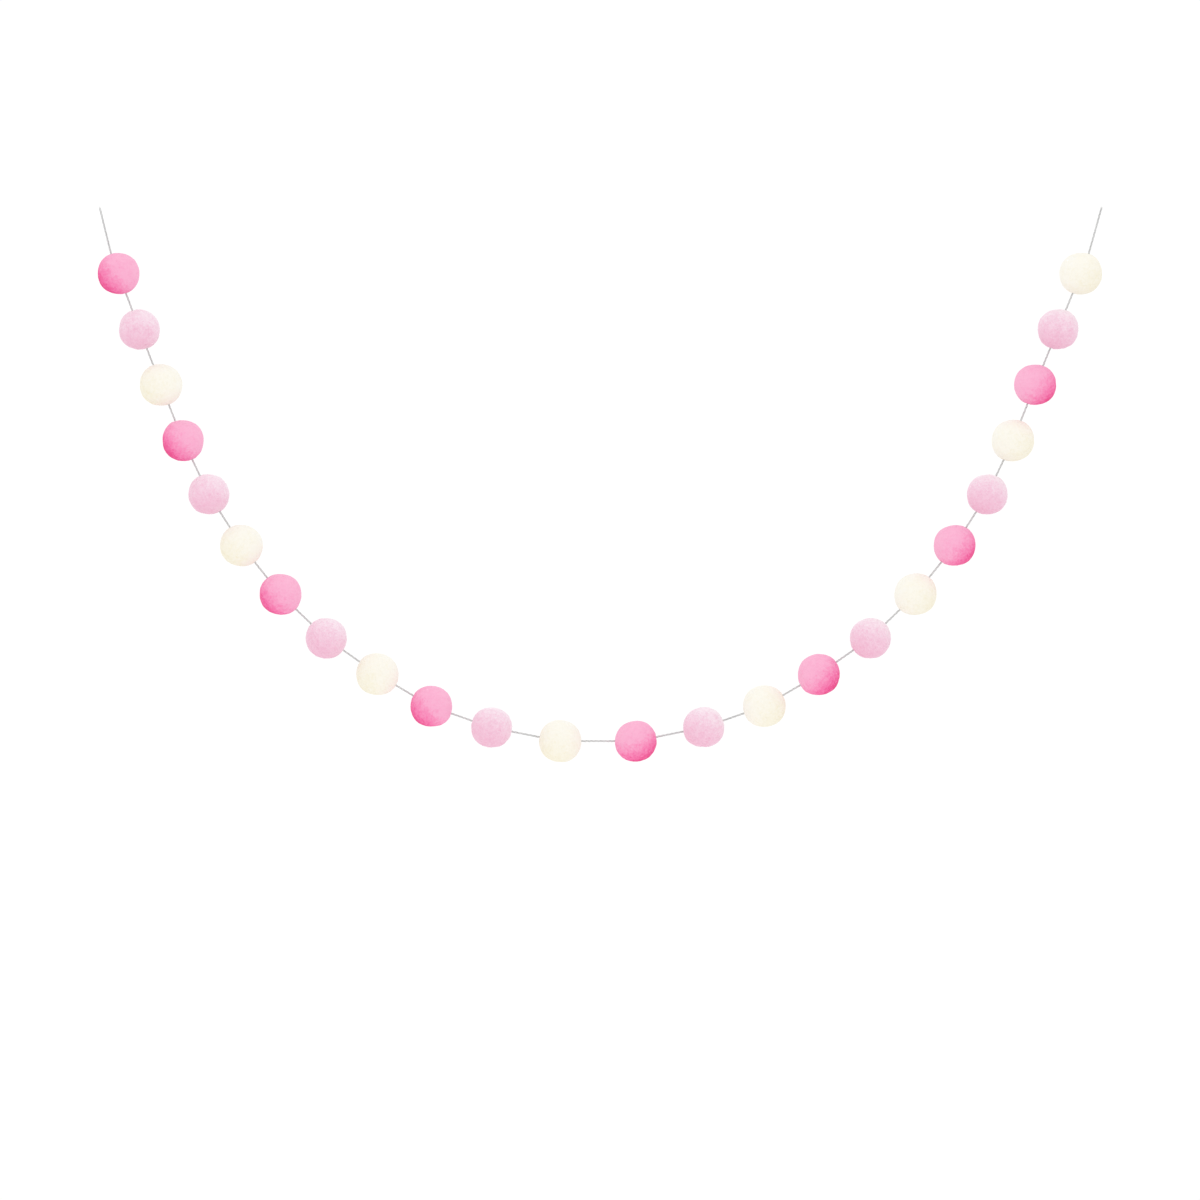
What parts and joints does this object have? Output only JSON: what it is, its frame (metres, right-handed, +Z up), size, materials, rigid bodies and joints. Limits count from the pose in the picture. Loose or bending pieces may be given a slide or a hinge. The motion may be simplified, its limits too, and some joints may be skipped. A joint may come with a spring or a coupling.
{
  "type": "felt ball garland",
  "caption": "Garland of round wool felt balls in hot pink, light pink and cream, threaded in turn on a thin twisted cord that hangs in a deep U between its bare ends.",
  "frame": {"origin": "the left end of the cord, where the garland is hung up", "axes": "+X level from the left end of the cord to the right end, +Z up, and the garland hangs in the XZ plane with +Y towards its back"},
  "size_m": [0.6047, 0.0257, 0.3335],
  "materials": {
    "felt_hot_pink": "matted wool felt, matt, with a short soft pile",
    "felt_light_pink": "matted wool felt, matt, with a slightly longer speckled pile",
    "felt_cream": "matted wool felt, matt, with a short soft pile",
    "twisted_cord": "pale grey twisted cotton cord, matt"
  },
  "bodies": {
    "root": {"cord": "twisted_cord", "ball_01_hot_pink": "felt_hot_pink", "ball_02_light_pink": "felt_light_pink", "ball_03_cream": "felt_cream", "ball_04_hot_pink": "felt_hot_pink", "ball_05_light_pink": "felt_light_pink", "ball_06_cream": "felt_cream", "ball_07_hot_pink": "felt_hot_pink", "ball_08_light_pink": "felt_light_pink", "ball_09_cream": "felt_cream", "ball_10_hot_pink": "felt_hot_pink", "ball_11_light_pink": "felt_light_pink", "ball_12_cream": "felt_cream", "ball_13_hot_pink": "felt_hot_pink", "ball_14_light_pink": "felt_light_pink", "ball_15_cream": "felt_cream", "ball_16_hot_pink": "felt_hot_pink", "ball_17_light_pink": "felt_light_pink", "ball_18_cream": "felt_cream", "ball_19_hot_pink": "felt_hot_pink", "ball_20_light_pink": "felt_light_pink", "ball_21_cream": "felt_cream", "ball_22_hot_pink": "felt_hot_pink", "ball_23_light_pink": "felt_light_pink", "ball_24_cream": "felt_cream"}
  },
  "joints": []
}
